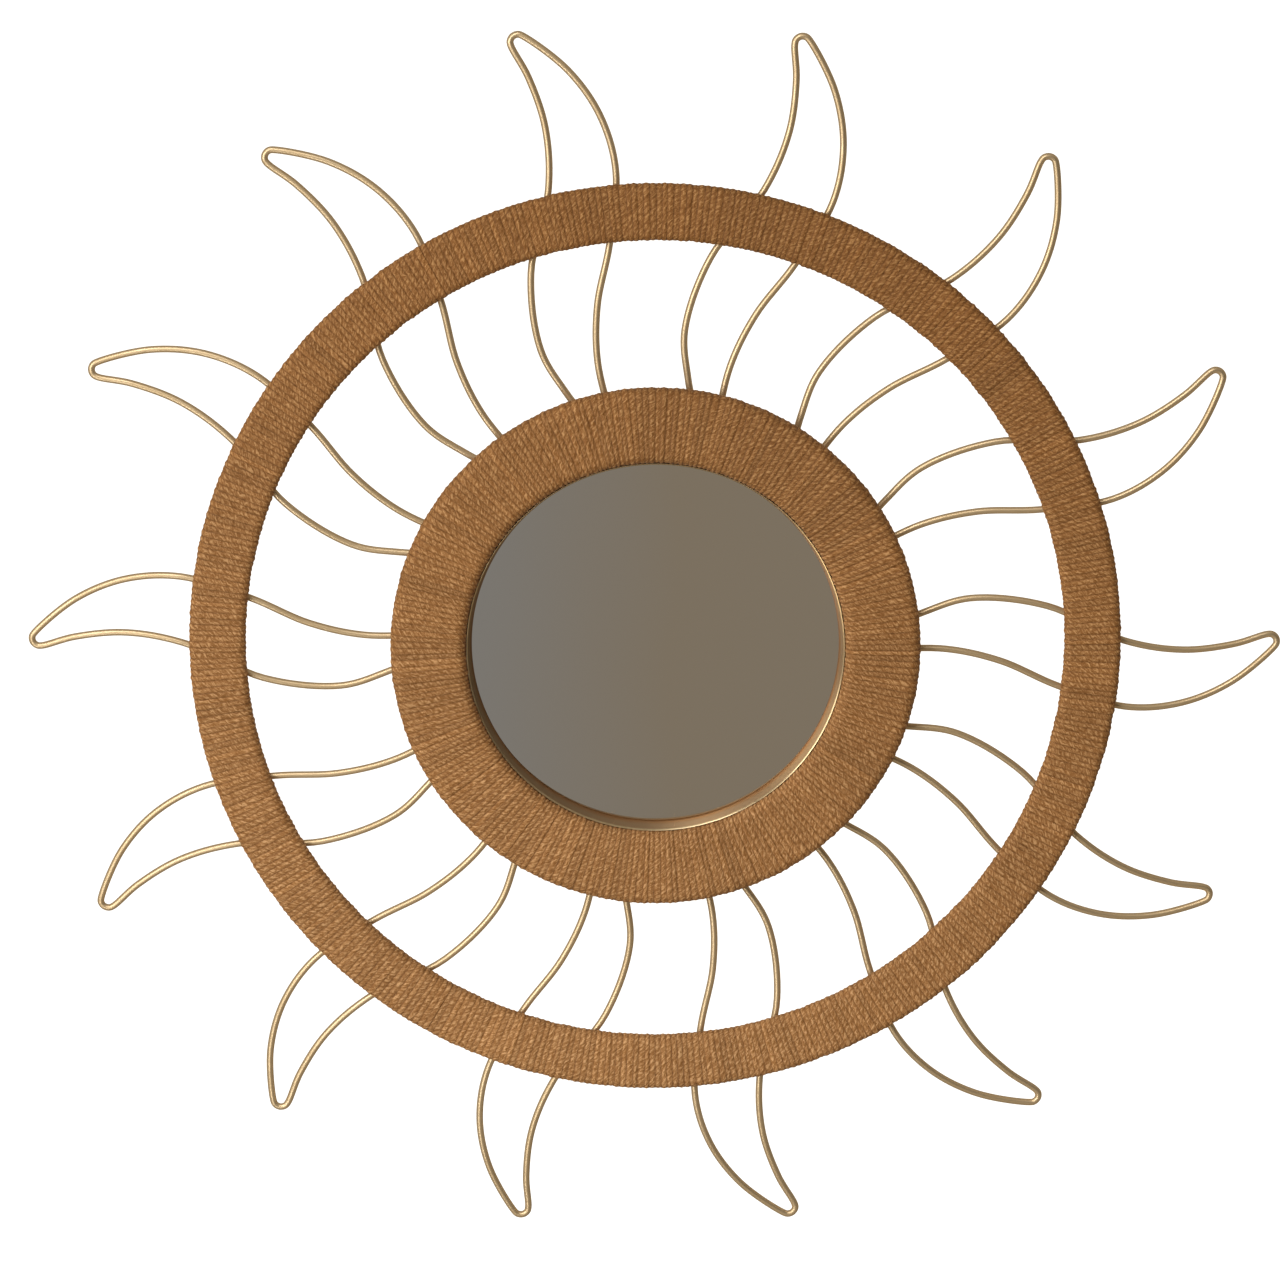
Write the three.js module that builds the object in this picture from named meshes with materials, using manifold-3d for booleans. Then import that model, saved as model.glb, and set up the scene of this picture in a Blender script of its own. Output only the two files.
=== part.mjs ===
// A wall mirror in the form of a sun. A round glass sits in a frame wound with jute twine, and fourteen
// rays of gold-painted wire spring from the board behind it. A second, wider ring wound with the same
// twine lies on the rays. Millimetres, +Z up; the front faces -Y and the wall is the plane y = 0.
import * as THREE from 'three';
import { mergeVertices } from 'three/addons/utils/BufferGeometryUtils.js';
import Module from 'manifold-3d';

// The outer ring: a flat hoop with rounded edges under one layer of twine
const OUTER_RING_OUTER_RADIUS = 234;
const OUTER_RING_INNER_RADIUS = 205.2;
const OUTER_RING_THICKNESS = 9;
const OUTER_RING_EDGE_RADIUS = 4.4;
const OUTER_RING_MID_Y = -13;

// The inner ring: the mirror's frame, thicker and standing further forward
const INNER_RING_OUTER_RADIUS = 132.9;
const INNER_RING_INNER_RADIUS = 94.8;
const INNER_RING_THICKNESS = 13;
const INNER_RING_EDGE_RADIUS = 5.5;
const INNER_RING_MID_Y = -21;

// The rays: one bent wire each
const RAY_COUNT = 14;
const FIRST_RAY_ANGLE = 25.65;
const WIRE_RADIUS = 1.75;
const WIRE_PLANE_Y = -8;
const TIP_Y = -2.7;
const TIP_RADIUS = 313.5;
const TIP_BEND_RADIUS = 3.9;
const TIP_BEND_SIDE = -1;
const TIP_BEND_FROM = 106;
const TIP_BEND_TO = -49;
const TIP_BEND_POINTS = 5;
// The bends of the two legs, from the board to the tip: radius, and degrees from the ray's own angle
const LEADING_LEG = [
  [112, 2.4], [136, 6.5], [160, 8.1], [198, 5.35], [236, 0.15], [266, -1], [292, -0.4],
];
const TRAILING_LEG = [
  [112, -2.1], [146, -1.45], [174, -3.25], [204, -6.4], [240, -8.1], [268, -6.9], [292, -4.25],
];
// The rays were set by hand: how far each one leans from the even division, in degrees
const RAY_LEANS = [0.1, 0, -0.4, 0, -0.7, -0.7, 0, 0.6, 0.5, 0.2, 0.2, 0.3, 0.2, -0.1];

// The mirror, its rim and the board that carries everything
const GLASS_RADIUS = 94.4;
const GLASS_FRONT_Y = -11.8;
const GLASS_THICKNESS = 3;
const GLASS_ARRIS = 0.5;
const RIM_FOOT_RADIUS = 92.2;
const RIM_FRONT_RADIUS = 94;
const RIM_WALL = 0.3;
const RIM_FRONT_Y = -22.6;
const BOARD_RADIUS = 122;
const BOARD_CHAMFER = 1;

// The keyhole slot in the back of the board: a screw head goes in at the round hole, and the channel
// behind the slot's lip holds it
const KEYHOLE_Z = 70;
const KEYHOLE_HEAD_RADIUS = 5.5;
const KEYHOLE_SLOT_RADIUS = 2.75;
const KEYHOLE_SLOT_LENGTH = 12;
const KEYHOLE_CHANNEL_RADIUS = 6;
const KEYHOLE_LIP = 2.5;
const KEYHOLE_DEPTH = 6;

// Fineness of the faceted solids, the gap kept between touching pieces, how far a cut starts outside
// the face that it goes into, and how near two vertices are to count as one
const GAP = 0.3;
const CUT_START = 1;
const SAME_VERTEX = 1e-4;
const OUTER_RING_SEGMENTS = 56;
const INNER_RING_SEGMENTS = 42;
const DISC_SEGMENTS = 40;
const EDGE_STEPS = 2;
const WIRE_SIDES = 6;
const WIRE_STEPS = 22;
const KEYHOLE_ARC_STEPS = 8;

const TWINE = new THREE.MeshStandardMaterial({ color: 0xa0733f, roughness: 0.95, metalness: 0 });
const GOLD_PAINT = new THREE.MeshStandardMaterial({ color: 0xc9a267, roughness: 0.35, metalness: 0.9 });
const MIRROR = new THREE.MeshStandardMaterial({ color: 0xd8d8d4, roughness: 0.02, metalness: 1 });
const FIBREBOARD = new THREE.MeshStandardMaterial({ color: 0x8a6a48, roughness: 0.85, metalness: 0 });

const wasm = await Module();
wasm.setup();

// Joins the vertices that share a place and hands the closed shape over as a solid
function toSolid(geometry) {
  const bare = geometry.clone();
  bare.deleteAttribute('normal');
  bare.deleteAttribute('uv');
  const merged = mergeVertices(bare, SAME_VERTEX);
  const vertProperties = new Float32Array(merged.attributes.position.array);
  const triVerts = new Uint32Array(merged.index.array);
  return new wasm.Manifold(new wasm.Mesh({ numProp: 3, vertProperties, triVerts }));
}

// Turns a solid back into a geometry
function toGeometry(solid) {
  const { vertProperties, triVerts } = solid.getMesh();
  const geometry = new THREE.BufferGeometry();
  geometry.setAttribute('position', new THREE.BufferAttribute(new Float32Array(vertProperties), 3));
  geometry.setIndex(new THREE.BufferAttribute(new Uint32Array(triVerts), 1));
  geometry.computeVertexNormals();
  return geometry;
}

// A closed profile of radius and depth turned about the mirror's axis, the Y axis
function turned(profile, segments) {
  return new THREE.LatheGeometry(profile, segments);
}

// The section of a wound ring: a rectangle whose four corners are quarter circles
function ringSection(innerRadius, outerRadius, midY, thickness, edgeRadius) {
  const half = thickness / 2 - edgeRadius;
  const corners = [
    [outerRadius - edgeRadius, midY - half, -90],
    [outerRadius - edgeRadius, midY + half, 0],
    [innerRadius + edgeRadius, midY + half, 90],
    [innerRadius + edgeRadius, midY - half, 180],
  ];
  const section = [];
  for (const [x, y, from] of corners) {
    for (let step = 0; step <= EDGE_STEPS; step += 1) {
      const angle = THREE.MathUtils.degToRad(from + (90 * step) / EDGE_STEPS);
      section.push(new THREE.Vector2(x + edgeRadius * Math.cos(angle), y + edgeRadius * Math.sin(angle)));
    }
  }
  section.push(section[0].clone());
  return section;
}

// A curve through its points that takes as many steps between near points as between far ones,
// so that the small bend at a ray's tip stays round
class WirePath extends THREE.CatmullRomCurve3 {
  getUtoTmapping(u) {
    return u;
  }
}

// Depth of the wire at a radius: flat from the board to past the outer ring, then easing back to the tip
function wireDepth(radius) {
  const past = Math.max(0, radius - OUTER_RING_OUTER_RADIUS);
  return THREE.MathUtils.lerp(WIRE_PLANE_Y, TIP_Y, past / (TIP_RADIUS - OUTER_RING_OUTER_RADIUS));
}

// A point given along and across a ray that points at an angle, in degrees
function onRay(along, across, rayAngle) {
  const angle = THREE.MathUtils.degToRad(rayAngle);
  const x = along * Math.cos(angle) - across * Math.sin(angle);
  const z = along * Math.sin(angle) + across * Math.cos(angle);
  return new THREE.Vector3(x, wireDepth(Math.hypot(x, z)), z);
}

// The bends of one ray in order: up the leading leg, round the tip and back down the trailing leg
function rayPoints(rayAngle, extraRoot) {
  const leg = (bends) => bends.map(([radius, degrees], index) => {
    const angle = THREE.MathUtils.degToRad(degrees);
    const reach = index === 0 ? radius - extraRoot : radius;
    return onRay(reach * Math.cos(angle), reach * Math.sin(angle), rayAngle);
  });
  const tip = [];
  for (let step = 0; step < TIP_BEND_POINTS; step += 1) {
    const share = step / (TIP_BEND_POINTS - 1);
    const angle = THREE.MathUtils.degToRad(THREE.MathUtils.lerp(TIP_BEND_FROM, TIP_BEND_TO, share));
    const along = TIP_RADIUS - TIP_BEND_RADIUS + TIP_BEND_RADIUS * Math.cos(angle);
    tip.push(onRay(along, TIP_BEND_SIDE + TIP_BEND_RADIUS * Math.sin(angle), rayAngle));
  }
  return [...leg(LEADING_LEG), ...tip, ...leg(TRAILING_LEG).reverse()];
}

// The wire of one ray; a little extra radius and root gives the room that it needs in other pieces
function rayGeometry(rayAngle, extra) {
  const section = new THREE.Shape();
  for (let side = 0; side < WIRE_SIDES; side += 1) {
    const angle = (2 * Math.PI * side) / WIRE_SIDES;
    const x = (WIRE_RADIUS + extra) * Math.cos(angle);
    const y = (WIRE_RADIUS + extra) * Math.sin(angle);
    if (side === 0) section.moveTo(x, y);
    else section.lineTo(x, y);
  }
  section.closePath();
  const extrudePath = new WirePath(rayPoints(rayAngle, extra));
  return new THREE.ExtrudeGeometry(section, { steps: WIRE_STEPS, extrudePath, curveSegments: 1 });
}

// An outline drawn on the back of the board and cut into it, between two depths from the rear face
function backCut(outline, fromDepth, toDepth) {
  const depth = toDepth - fromDepth;
  const options = { depth, bevelEnabled: false, curveSegments: KEYHOLE_ARC_STEPS };
  const geometry = new THREE.ExtrudeGeometry(outline, options);
  geometry.rotateX(Math.PI / 2);
  geometry.translate(0, -fromDepth, KEYHOLE_Z);
  return toSolid(geometry);
}

// The keyhole slot: a round hole with a narrow slot above it, and a wider channel behind both
function keyhole() {
  const meet = Math.asin(KEYHOLE_SLOT_RADIUS / KEYHOLE_HEAD_RADIUS);
  const hole = new THREE.Shape();
  hole.absarc(0, 0, KEYHOLE_HEAD_RADIUS, Math.PI / 2 + meet, Math.PI / 2 - meet + 2 * Math.PI, false);
  hole.absarc(0, KEYHOLE_SLOT_LENGTH, KEYHOLE_SLOT_RADIUS, 0, Math.PI, false);
  hole.closePath();
  const channel = new THREE.Shape();
  channel.absarc(0, 0, KEYHOLE_CHANNEL_RADIUS, Math.PI, 2 * Math.PI, false);
  channel.absarc(0, KEYHOLE_SLOT_LENGTH, KEYHOLE_CHANNEL_RADIUS, 0, Math.PI, false);
  channel.closePath();
  const mouth = backCut(hole, -CUT_START, KEYHOLE_LIP + CUT_START);
  return mouth.add(backCut(channel, KEYHOLE_LIP, KEYHOLE_DEPTH));
}

// The board: a disc with eased edges from the wall to the back of the inner ring, with a round pocket
// in its front that takes the glass
function boardGeometry() {
  const frontY = INNER_RING_MID_Y + INNER_RING_THICKNESS / 2 + GAP;
  const pocketY = GLASS_FRONT_Y + GLASS_THICKNESS + GAP;
  return turned([
    new THREE.Vector2(0, pocketY),
    new THREE.Vector2(GLASS_RADIUS + GAP, pocketY),
    new THREE.Vector2(GLASS_RADIUS + GAP, frontY),
    new THREE.Vector2(BOARD_RADIUS - BOARD_CHAMFER, frontY),
    new THREE.Vector2(BOARD_RADIUS, frontY + BOARD_CHAMFER),
    new THREE.Vector2(BOARD_RADIUS, -BOARD_CHAMFER),
    new THREE.Vector2(BOARD_RADIUS - BOARD_CHAMFER, 0),
    new THREE.Vector2(0, 0),
  ], DISC_SEGMENTS);
}

// The glass: a disc with arrised edges
function glassGeometry() {
  const backY = GLASS_FRONT_Y + GLASS_THICKNESS;
  return turned([
    new THREE.Vector2(0, GLASS_FRONT_Y),
    new THREE.Vector2(GLASS_RADIUS - GLASS_ARRIS, GLASS_FRONT_Y),
    new THREE.Vector2(GLASS_RADIUS, GLASS_FRONT_Y + GLASS_ARRIS),
    new THREE.Vector2(GLASS_RADIUS, backY),
    new THREE.Vector2(0, backY),
  ], DISC_SEGMENTS);
}

// The rim: a thin metal strip that stands on the glass and opens out to the inner ring's edge
function rimGeometry() {
  const footY = GLASS_FRONT_Y - GAP;
  return turned([
    new THREE.Vector2(RIM_FOOT_RADIUS, footY),
    new THREE.Vector2(RIM_FRONT_RADIUS, RIM_FRONT_Y),
    new THREE.Vector2(RIM_FRONT_RADIUS + RIM_WALL, RIM_FRONT_Y),
    new THREE.Vector2(RIM_FOOT_RADIUS + RIM_WALL, footY),
    new THREE.Vector2(RIM_FOOT_RADIUS, footY),
  ], DISC_SEGMENTS);
}

const wallMirror = new THREE.Group();

function addPiece(name, geometry, material) {
  const piece = new THREE.Mesh(geometry, material.clone());
  piece.name = name;
  wallMirror.add(piece);
}

const rayAngles = RAY_LEANS.map((lean, index) => FIRST_RAY_ANGLE + (360 * index) / RAY_COUNT + lean);
const raySpaces = rayAngles.map((angle) => toSolid(rayGeometry(angle, GAP)));
const withRayRoom = (geometry) => raySpaces.reduce((left, room) => left.subtract(room), toSolid(geometry));

const outerSection = ringSection(OUTER_RING_INNER_RADIUS, OUTER_RING_OUTER_RADIUS,
  OUTER_RING_MID_Y, OUTER_RING_THICKNESS, OUTER_RING_EDGE_RADIUS);
const outerRing = withRayRoom(turned(outerSection, OUTER_RING_SEGMENTS));
addPiece('outer_ring', toGeometry(outerRing), TWINE);

const innerSection = ringSection(INNER_RING_INNER_RADIUS, INNER_RING_OUTER_RADIUS,
  INNER_RING_MID_Y, INNER_RING_THICKNESS, INNER_RING_EDGE_RADIUS);
addPiece('inner_ring', turned(innerSection, INNER_RING_SEGMENTS), TWINE);

addPiece('mirror_glass', glassGeometry(), MIRROR);
addPiece('mirror_rim', rimGeometry(), GOLD_PAINT);

const board = withRayRoom(boardGeometry()).subtract(keyhole());
addPiece('back_board', toGeometry(board), FIBREBOARD);

rayAngles.forEach((angle, index) => {
  addPiece(`ray_${String(index + 1).padStart(2, '0')}`, rayGeometry(angle, 0), GOLD_PAINT);
});

export default wallMirror;
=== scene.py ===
import bpy
import numpy as np
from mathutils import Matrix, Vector


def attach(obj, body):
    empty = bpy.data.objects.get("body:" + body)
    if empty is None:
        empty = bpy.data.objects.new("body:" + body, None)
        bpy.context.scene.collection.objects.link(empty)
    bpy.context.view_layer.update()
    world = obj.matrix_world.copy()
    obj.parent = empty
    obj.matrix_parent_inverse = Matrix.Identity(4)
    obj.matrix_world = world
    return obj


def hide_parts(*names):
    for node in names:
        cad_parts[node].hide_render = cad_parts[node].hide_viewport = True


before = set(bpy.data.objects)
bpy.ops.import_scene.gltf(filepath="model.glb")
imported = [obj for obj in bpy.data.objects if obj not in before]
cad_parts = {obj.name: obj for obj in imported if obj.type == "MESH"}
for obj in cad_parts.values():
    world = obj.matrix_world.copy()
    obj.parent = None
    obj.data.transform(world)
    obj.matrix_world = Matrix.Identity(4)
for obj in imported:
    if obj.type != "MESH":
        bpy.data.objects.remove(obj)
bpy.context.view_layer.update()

# The back board
# A disc of brown fibreboard with eased edges, sealed but not painted. The glass lies in a pocket in its
# front, the wire ends sit in its edge, and a keyhole slot in its back takes one screw in the wall.
MM = 0.001
BOARD_RADIUS = 122 * MM
BOARD_FRONT_Y = -14.2 * MM
BOARD_EASING = 1 * MM
ROUNDING_SHARE = 0.3
ROUND_STEPS = 192
ARC_STEPS = 24
POCKET_RADIUS = 94.7 * MM
POCKET_FLOOR_Y = -8.5 * MM
KEYHOLE_Z = 70 * MM
KEYHOLE_HEAD_RADIUS = 5.5 * MM
KEYHOLE_SLOT_RADIUS = 2.75 * MM
KEYHOLE_SLOT_LENGTH = 12 * MM
KEYHOLE_CHANNEL_RADIUS = 6 * MM
KEYHOLE_LIP = 2.5 * MM
KEYHOLE_DEPTH = 6 * MM
CUT_START = 1 * MM
BOARD_BROWN = (0.235, 0.145, 0.078, 1)
BOARD_PALE_FIBRE = (0.36, 0.245, 0.145, 1)
FLECK_SCALE = 900
BLOTCH_SCALE = 38


def grid_quads(rows, columns, rows_close, columns_close):
    """Corners of the quads of a grid whose point (i, j) has number i * columns + j. A direction that closes
    joins its last line of points to its first. Faces look along row direction x column direction."""
    i = np.arange(rows if rows_close else rows - 1)[:, None]
    j = np.arange(columns if columns_close else columns - 1)[None, :]
    next_i, next_j = (i + 1) % rows, (j + 1) % columns
    corners = (i * columns + j, next_i * columns + j, next_i * columns + next_j, i * columns + next_j)
    return np.stack(np.broadcast_arrays(*corners), -1).reshape(-1, 4)


def new_piece(name, points, quads, fans=(), smooth_quads=True):
    """A mesh at the origin made of points, quads and the triangles that close its ends, which stay flat."""
    points = np.asarray(points, np.float32).reshape(-1, 3)
    quads = np.asarray(quads, np.int32).reshape(-1, 4)
    fans = np.asarray(fans, np.int32).reshape(-1, 3)
    starts = np.concatenate([4 * np.arange(len(quads)), 4 * len(quads) + 3 * np.arange(len(fans))])
    smooth = np.concatenate([np.full(len(quads), smooth_quads), np.full(len(fans), False)])
    mesh = bpy.data.meshes.new(name)
    mesh.vertices.add(len(points))
    mesh.vertices.foreach_set("co", points.ravel())
    mesh.loops.add(quads.size + fans.size)
    mesh.loops.foreach_set("vertex_index", np.concatenate([quads.ravel(), fans.ravel()]))
    mesh.polygons.add(len(starts))
    mesh.polygons.foreach_set("loop_start", starts.astype(np.int32))
    mesh.polygons.foreach_set("use_smooth", smooth)
    mesh.update(calc_edges=True)
    piece = bpy.data.objects.new(name, mesh)
    bpy.context.scene.collection.objects.link(piece)
    return piece


def turned_points(radii, depths, steps):
    """Point (i, j) is profile point i carried round the mirror's axis, the Y axis, by j / steps of a turn:
    x = radius * cos(angle), y = depth, z = radius * sin(angle)."""
    angle = 2 * np.pi * np.arange(steps) / steps
    radius, depth = np.asarray(radii)[:, None], np.asarray(depths)[:, None]
    return np.stack([radius * np.cos(angle), depth + 0 * angle, radius * np.sin(angle)], -1)


def turned_disc(name, radii, depths, steps, smooth_quads=True):
    """A disc turned from a profile that runs from the front over the edge to the back. A fan of triangles
    about a point on the axis closes each face."""
    rim = turned_points(radii, depths, steps).reshape(-1, 3)
    poles = [[0, depths[0], 0], [0, depths[-1], 0]]
    quads = grid_quads(len(radii), steps, False, True)
    j = np.arange(steps)
    next_j = (j + 1) % steps
    last = (len(radii) - 1) * steps
    front = np.stack([np.full(steps, len(rim)), j, next_j], -1)
    back = np.stack([np.full(steps, len(rim) + 1), last + next_j, last + j], -1)
    return new_piece(name, np.concatenate([rim, poles]), quads, np.concatenate([front, back]), smooth_quads)


def keyhole_cut(name, outline, from_depth, to_depth):
    """A prism that cuts an outline of x and z into the board's back, from one depth to another."""
    count = len(outline)
    ends = [np.insert(outline, 1, -depth, axis=1) for depth in (to_depth, from_depth)]
    middle = outline.mean(0)
    poles = [[middle[0], -to_depth, middle[1]], [middle[0], -from_depth, middle[1]]]
    j = np.arange(count)
    next_j = (j + 1) % count
    inner = np.stack([np.full(count, 2 * count), j, next_j], -1)
    outer = np.stack([np.full(count, 2 * count + 1), count + next_j, count + j], -1)
    points = np.concatenate([*ends, poles])
    return new_piece(name, points, grid_quads(2, count, False, True), np.concatenate([inner, outer]))


def arc(middle_z, radius, from_degrees, to_degrees, steps=ARC_STEPS):
    """Points of a circular arc in the plane of the wall: x and z."""
    angle = np.radians(np.linspace(from_degrees, to_degrees, steps))
    return np.stack([radius * np.cos(angle), middle_z + radius * np.sin(angle)], -1)


def feed(tree, socket, value):
    """Gives a node's socket a constant, or the output of another node."""
    if isinstance(value, bpy.types.NodeSocket):
        tree.links.new(value, socket)
    else:
        socket.default_value = value


def maths(tree, operation, *values):
    """The result of one Math node."""
    node = tree.nodes.new("ShaderNodeMath")
    node.operation = operation
    for socket, value in zip(node.inputs, values):
        feed(tree, socket, value)
    return node.outputs[0]


def noise(tree, place, scale, detail, roughness=0.5):
    """A noise value from 0 to 1 at a place."""
    node = tree.nodes.new("ShaderNodeTexNoise")
    for name, value in (("Vector", place), ("Scale", scale), ("Detail", detail), ("Roughness", roughness)):
        feed(tree, node.inputs[name], value)
    return node.outputs["Fac"]


def between(tree, share, low, high):
    """A number that runs from low to high as the share runs from 0 to 1, and stays there beyond."""
    node = tree.nodes.new("ShaderNodeMapRange")
    feed(tree, node.inputs["Value"], share)
    node.inputs["To Min"].default_value = low
    node.inputs["To Max"].default_value = high
    return node.outputs[0]


def colour_mix(tree, share, first, second, blend="MIX"):
    """Two colours mixed, or multiplied, by a share."""
    node = tree.nodes.new("ShaderNodeMix")
    node.data_type = "RGBA"
    node.blend_type = blend
    for socket, value in zip((node.inputs[0], node.inputs[6], node.inputs[7]), (share, first, second)):
        feed(tree, socket, value)
    return node.outputs[2]


def new_finish(name, **sockets):
    """A material with one surface shader. Returns the material, its node tree and the shader."""
    finish = bpy.data.materials.new(name)
    finish.use_nodes = True
    tree = finish.node_tree
    shader = tree.nodes["Principled BSDF"]
    for socket, value in sockets.items():
        shader.inputs[socket.replace("_", " ")].default_value = value
    return finish, tree, shader


def raise_by(tree, shader, height, distance, strength=1.0):
    """Lets a height value tilt the shader's normal."""
    bump = tree.nodes.new("ShaderNodeBump")
    bump.inputs["Strength"].default_value = strength
    bump.inputs["Distance"].default_value = distance
    feed(tree, bump.inputs["Height"], height)
    feed(tree, shader.inputs["Normal"], bump.outputs["Normal"])


def on_piece(tree, scale=(1, 1, 1)):
    """The place on the piece in its own coordinates, stretched along the axes."""
    mapping = tree.nodes.new("ShaderNodeMapping")
    mapping.inputs["Scale"].default_value = scale
    feed(tree, mapping.inputs["Vector"], tree.nodes.new("ShaderNodeTexCoord").outputs["Object"])
    return mapping.outputs["Vector"]


def fibreboard():
    """Pressed wood fibre: a fine fleck of pale fibres on brown, soft blotches and a slight roughness."""
    finish, tree, shader = new_finish("sealed_fibreboard", Roughness=0.72)
    fleck = noise(tree, on_piece(tree, (1, 1, 0.45)), FLECK_SCALE, 4, 0.65)
    blotch = noise(tree, on_piece(tree), BLOTCH_SCALE, 3)
    share = maths(tree, "ADD", between(tree, fleck, -0.55, 1.25), between(tree, blotch, -0.35, 0.35))
    share = maths(tree, "MINIMUM", maths(tree, "MAXIMUM", share, 0.0), 1.0)
    feed(tree, shader.inputs["Base Color"], colour_mix(tree, share, BOARD_BROWN, BOARD_PALE_FIBRE))
    feed(tree, shader.inputs["Roughness"], between(tree, fleck, 0.58, 0.86))
    raise_by(tree, shader, fleck, 0.00025, 0.5)
    return finish


rounding = ROUNDING_SHARE * BOARD_EASING
board = turned_disc(
    "back_board_disc",
    [POCKET_RADIUS, POCKET_RADIUS, BOARD_RADIUS - BOARD_EASING, BOARD_RADIUS - rounding, BOARD_RADIUS,
     BOARD_RADIUS, BOARD_RADIUS - rounding, BOARD_RADIUS - BOARD_EASING],
    [POCKET_FLOOR_Y, BOARD_FRONT_Y, BOARD_FRONT_Y, BOARD_FRONT_Y + rounding, BOARD_FRONT_Y + BOARD_EASING,
     -BOARD_EASING, -rounding, 0],
    ROUND_STEPS,
)
meet = np.degrees(np.arcsin(KEYHOLE_SLOT_RADIUS / KEYHOLE_HEAD_RADIUS))
slot_top = KEYHOLE_Z + KEYHOLE_SLOT_LENGTH
mouth = keyhole_cut("keyhole_mouth", np.concatenate([
    arc(KEYHOLE_Z, KEYHOLE_HEAD_RADIUS, 90 + meet, 450 - meet, 2 * ARC_STEPS),
    arc(slot_top, KEYHOLE_SLOT_RADIUS, 0, 180)]), -CUT_START, KEYHOLE_LIP + CUT_START)
channel = keyhole_cut("keyhole_channel", np.concatenate([
    arc(KEYHOLE_Z, KEYHOLE_CHANNEL_RADIUS, 180, 360),
    arc(slot_top, KEYHOLE_CHANNEL_RADIUS, 0, 180)]), KEYHOLE_LIP, KEYHOLE_DEPTH)
for cutter in (mouth, channel):
    cut = board.modifiers.new(cutter.name, "BOOLEAN")
    cut.operation = "DIFFERENCE"
    cut.solver = "EXACT"
    cut.object = cutter
cut_mesh = bpy.data.meshes.new_from_object(board.evaluated_get(bpy.context.evaluated_depsgraph_get()))
board.modifiers.clear()
board.data = cut_mesh
for cutter in (mouth, channel):
    bpy.data.objects.remove(cutter)
board.data.materials.clear()
board.data.materials.append(fibreboard())
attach(board, "root")
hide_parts("back_board")

# The rays
# Fourteen steel wires of 3.5 mm, each bent to a flame with two S-shaped legs and a small round tip, then
# painted champagne gold. Both ends are pushed into holes in the board's edge.
RAY_COUNT = 14
FIRST_RAY_ANGLE = 25.65
RAY_LEANS = (0.1, 0, -0.4, 0, -0.7, -0.7, 0, 0.6, 0.5, 0.2, 0.2, 0.3, 0.2, -0.1)
WIRE_RADIUS = 1.75 * MM
WIRE_PLANE_Y = -8 * MM
TIP_Y = -2.7 * MM
TIP_RADIUS = 313.5 * MM
TIP_BEND_RADIUS = 3.9 * MM
TIP_BEND_SIDE = -1 * MM
TIP_BEND_DEGREES = (106, -49)
TIP_BEND_POINTS = 5
# The bends of the two legs, from the board to the tip: radius, and degrees from the ray's own angle
LEADING_LEG = ((112, 2.4), (136, 6.5), (160, 8.1), (198, 5.35), (236, 0.15), (266, -1), (292, -0.4))
TRAILING_LEG = (
    (112, -2.1), (146, -1.45), (174, -3.25), (204, -6.4), (240, -8.1), (268, -6.9), (292, -4.25))
FALL_BACK_FROM = 234 * MM
WIRE_SIDES = 12
WIRE_STEPS_PER_BEND = 9
GOLD_PAINT = (0.70, 0.54, 0.335, 1)
GOLD_PAINT_WORN = (0.58, 0.43, 0.24, 1)
PAINT_ROUGHNESS = 0.4
RUBBED_SCALE = 55


def ray_bends(ray_degrees):
    """The bends of one ray, up the leading leg, round the tip and down the trailing leg. A bend lies on the
    plane of the wires, and past the outer ring it eases back in proportion to the radius."""
    legs = []
    for leg in (LEADING_LEG, TRAILING_LEG[::-1]):
        radius, degrees = np.array(leg).T
        aside = np.radians(degrees)
        legs.append(MM * radius[:, None] * np.stack([np.cos(aside), np.sin(aside)], -1))
    turn = np.radians(np.linspace(*TIP_BEND_DEGREES, TIP_BEND_POINTS))
    tip = np.stack([TIP_RADIUS - TIP_BEND_RADIUS + TIP_BEND_RADIUS * np.cos(turn),
                    TIP_BEND_SIDE + TIP_BEND_RADIUS * np.sin(turn)], -1)
    along, across = np.concatenate([legs[0], tip, legs[1]]).T
    angle = np.radians(ray_degrees)
    x = along * np.cos(angle) - across * np.sin(angle)
    z = along * np.sin(angle) + across * np.cos(angle)
    y = np.interp(np.hypot(x, z), [FALL_BACK_FROM, TIP_RADIUS], [WIRE_PLANE_Y, TIP_Y])
    return np.stack([x, y, z], -1)


def smooth_path(bends, steps):
    """A smooth curve through the bends, as a springy wire takes it: between two bends a cubic whose end
    slopes follow from the neighbouring bends, with times in proportion to the square root of the spans."""
    first, last = 2 * bends[0] - bends[1], 2 * bends[-1] - bends[-2]
    p0, p1, p2, p3 = (np.concatenate([[first], bends, [last]])[k:len(bends) - 1 + k] for k in range(4))
    spans = ((p0, p1), (p1, p2), (p2, p3))
    t0, t1, t2 = (np.sqrt(np.linalg.norm(b - a, axis=1))[:, None] for a, b in spans)
    slope1 = ((p1 - p0) / t0 - (p2 - p0) / (t0 + t1) + (p2 - p1) / t1) * t1
    slope2 = ((p2 - p1) / t1 - (p3 - p1) / (t1 + t2) + (p3 - p2) / t2) * t1
    c2 = -3 * p1 + 3 * p2 - 2 * slope1 - slope2
    c3 = 2 * p1 - 2 * p2 + slope1 + slope2
    t = (np.arange(steps) / steps)[None, :, None]
    points = p1[:, None] + slope1[:, None] * t + c2[:, None] * t ** 2 + c3[:, None] * t ** 3
    return np.concatenate([points.reshape(-1, 3), bends[-1:]])


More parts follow.
